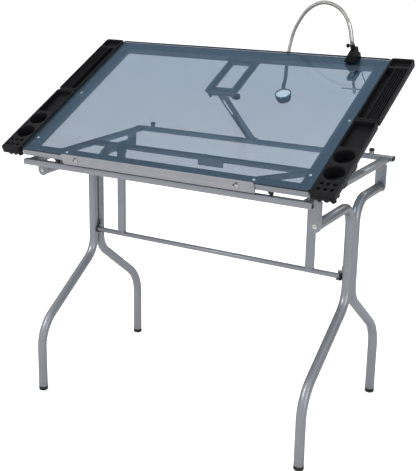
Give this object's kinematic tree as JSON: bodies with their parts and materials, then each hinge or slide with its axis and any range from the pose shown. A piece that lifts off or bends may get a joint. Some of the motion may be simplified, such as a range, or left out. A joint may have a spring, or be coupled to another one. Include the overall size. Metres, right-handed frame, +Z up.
{
  "type": "drafting table",
  "caption": "Folding drafting table with a tilting tinted glass top, side supply trays, a pencil ledge, bent-tube legs and a clamp-on flexible lamp.",
  "frame": {"origin": "on the floor, under the middle of the whole table's bounding box (10.7 mm in front of the middle of the four feet)", "axes": "+X to the user's right, +Y away from the user towards the raised rear edge of the top, +Z up"},
  "size_m": [1.028, 0.6394, 1.1928],
  "materials": {
    "silver_paint": "satin silver powder coat",
    "bright_steel": "bright",
    "tinted_glass": "polished, blue tint",
    "tray_plastic": "satin",
    "black_plastic": "semi-gloss",
    "rubber": "matte",
    "lamp_black": "semi-gloss",
    "lens": "frosted"
  },
  "bodies": {
    "frame": {"front_rail": "silver_paint", "side_rail_left": "silver_paint", "side_rail_right": "silver_paint", "rear_rail": "silver_paint", "rest_cap_left": "rubber", "rest_cap_right": "rubber", "rail_plug_left": "black_plastic", "rail_plug_right": "black_plastic", "mid_rail": "silver_paint", "diagonal_rail_left": "silver_paint", "diagonal_rail_right": "silver_paint", "centre_catch": "silver_paint", "strut_clevis": "silver_paint", "strut_pin": "bright_steel", "brace_pin_left": "bright_steel", "brace_pin_right": "bright_steel", "hinge_pin_left": "bright_steel", "hinge_pin_right": "bright_steel"},
    "leg_set_left": {"leg_front_left": "silver_paint", "leg_rear_left": "silver_paint", "foot_front_left": "rubber", "foot_rear_left": "rubber", "pivot_bolt_front_left": "bright_steel", "pivot_bolt_rear_left": "bright_steel", "brace_catch_left": "silver_paint"},
    "leg_set_right": {"leg_front_right": "silver_paint", "leg_rear_right": "silver_paint", "foot_front_right": "rubber", "foot_rear_right": "rubber", "pivot_bolt_front_right": "bright_steel", "pivot_bolt_rear_right": "bright_steel", "brace_catch_right": "silver_paint"},
    "brace": {"swing_brace": "silver_paint", "brace_plug_left": "rubber", "brace_plug_right": "rubber"},
    "strut": {"prop_strut": "silver_paint"},
    "top": {"glass_top": "tinted_glass", "top_frame": "silver_paint", "strut_yoke": "silver_paint", "strut_bolt": "bright_steel", "lock_knob": "black_plastic", "front_bumper_left": "rubber", "front_bumper_right": "rubber", "tray_hanger_left": "silver_paint", "tray_hanger_right": "silver_paint", "ledge_screw_left": "bright_steel", "ledge_screw_right": "bright_steel", "clamp_body": "lamp_black", "lamp_socket": "lamp_black", "flexible_arm": "bright_steel", "lamp_head": "lamp_black", "lamp_lens": "lens", "lamp_cord": "rubber"},
    "ledge": {"pencil_ledge": "silver_paint"},
    "clamp_screw": {"clamp_screw": "bright_steel", "tommy_bar": "bright_steel"},
    "tray_front_left": {"tray_front_left": "tray_plastic"},
    "tray_front_right": {"tray_front_right": "tray_plastic"},
    "tray_rear_left": {"tray_rear_left": "tray_plastic"},
    "tray_rear_right": {"tray_rear_right": "tray_plastic"}
  },
  "joints": [
    {"name": "top_tilt", "type": "hinge", "parent": "frame", "child": "top", "pos_m": [0, -0.26223, 0.76512], "axis": [1, 0, 0], "range_deg": [-25.76, 0], "stiffness_Nm_per_rad": 900},
    {"name": "prop_strut", "type": "hinge", "parent": "frame", "child": "strut", "pos_m": [0, 0.28274, 0.748], "axis": [1, 0, 0], "range_deg": [-0.2, 36.7]},
    {"name": "ledge_slide", "type": "slide", "parent": "top", "child": "ledge", "axis": [0, -0.4346, 0.9006], "range_m": [-0.008, 0]},
    {"name": "clamp_screw_slide", "type": "slide", "parent": "top", "child": "clamp_screw", "axis": [0, -0.4346, 0.9006], "range_m": [-0.01, 0]},
    {"name": "leg_fold_left", "type": "hinge", "parent": "frame", "child": "leg_set_left", "pos_m": [-0.433, 0.01074, 0.701], "axis": [0, -1, 0], "range_deg": [0, 90], "stiffness_Nm_per_rad": 3000},
    {"name": "leg_fold_right", "type": "hinge", "parent": "frame", "child": "leg_set_right", "pos_m": [0.433, 0.01074, 0.668], "axis": [0, 1, 0], "range_deg": [0, 36.5], "stiffness_Nm_per_rad": 3000},
    {"name": "brace_fold", "type": "hinge", "parent": "frame", "child": "brace", "pos_m": [0, 0.02074, 0.725], "axis": [-1, 0, 0], "range_deg": [0, 90.5]},
    {"name": "tray_front_left_lift", "type": "slide", "parent": "top", "child": "tray_front_left", "axis": [0, -0.4346, 0.9006], "range_m": [0, 0.06]},
    {"name": "tray_front_right_lift", "type": "slide", "parent": "top", "child": "tray_front_right", "axis": [0, -0.4346, 0.9006], "range_m": [0, 0.06]},
    {"name": "tray_rear_left_lift", "type": "slide", "parent": "top", "child": "tray_rear_left", "axis": [0, -0.4346, 0.9006], "range_m": [0, 0.06]},
    {"name": "tray_rear_right_lift", "type": "slide", "parent": "top", "child": "tray_rear_right", "axis": [0, -0.4346, 0.9006], "range_m": [0, 0.06]}
  ],
  "couplings": [
    {"joint": "prop_strut", "follows": "top_tilt", "ratio": -1.417},
    {"joint": "brace_fold", "follows": "leg_fold_left", "ratio": 1},
    {"joint": "leg_fold_right", "follows": "leg_fold_left", "ratio": 0.4}
  ]
}
